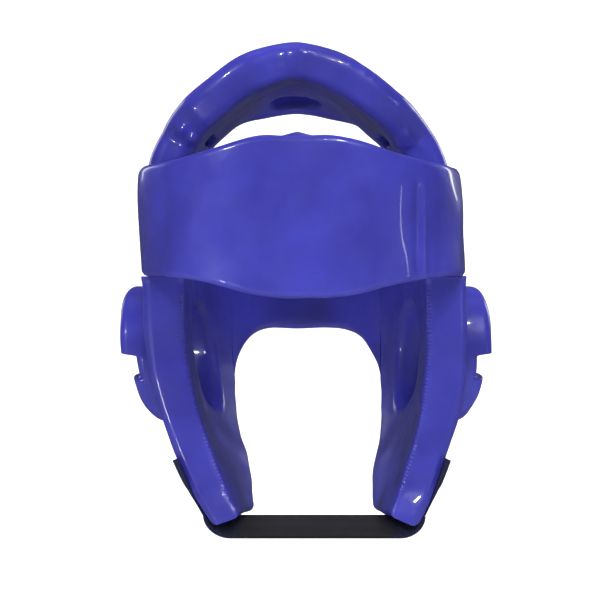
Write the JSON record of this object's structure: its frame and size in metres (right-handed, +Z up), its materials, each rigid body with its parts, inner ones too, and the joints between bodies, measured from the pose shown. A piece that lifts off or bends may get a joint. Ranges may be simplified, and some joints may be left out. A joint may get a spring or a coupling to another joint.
{
  "type": "martial arts head guard",
  "caption": "Dipped-foam martial arts head guard with brow pad, open crown arch, side pads with jaw flaps, raised ear guards, nape pad and an elastic chin strap.",
  "frame": {"origin": "inside of the crown over the middle of the head, where the guard sits on the top of the wearer's head", "axes": "+Z up, the face opening looks along -Y, +X is the wearer's left"},
  "size_m": [0.2246, 0.24, 0.2903],
  "materials": {
    "foam_skin": "glossy dipped vinyl skin",
    "strap_elastic": "matt woven elastic"
  },
  "bodies": {
    "root": {"brow_pad": "foam_skin", "brow_liner": "foam_skin", "crown_arch": "foam_skin", "nape_pad": "foam_skin", "side_pad_left": "foam_skin", "side_pad_right": "foam_skin", "ear_guard_left": "foam_skin", "ear_guard_right": "foam_skin", "chin_strap": "strap_elastic"}
  },
  "joints": []
}
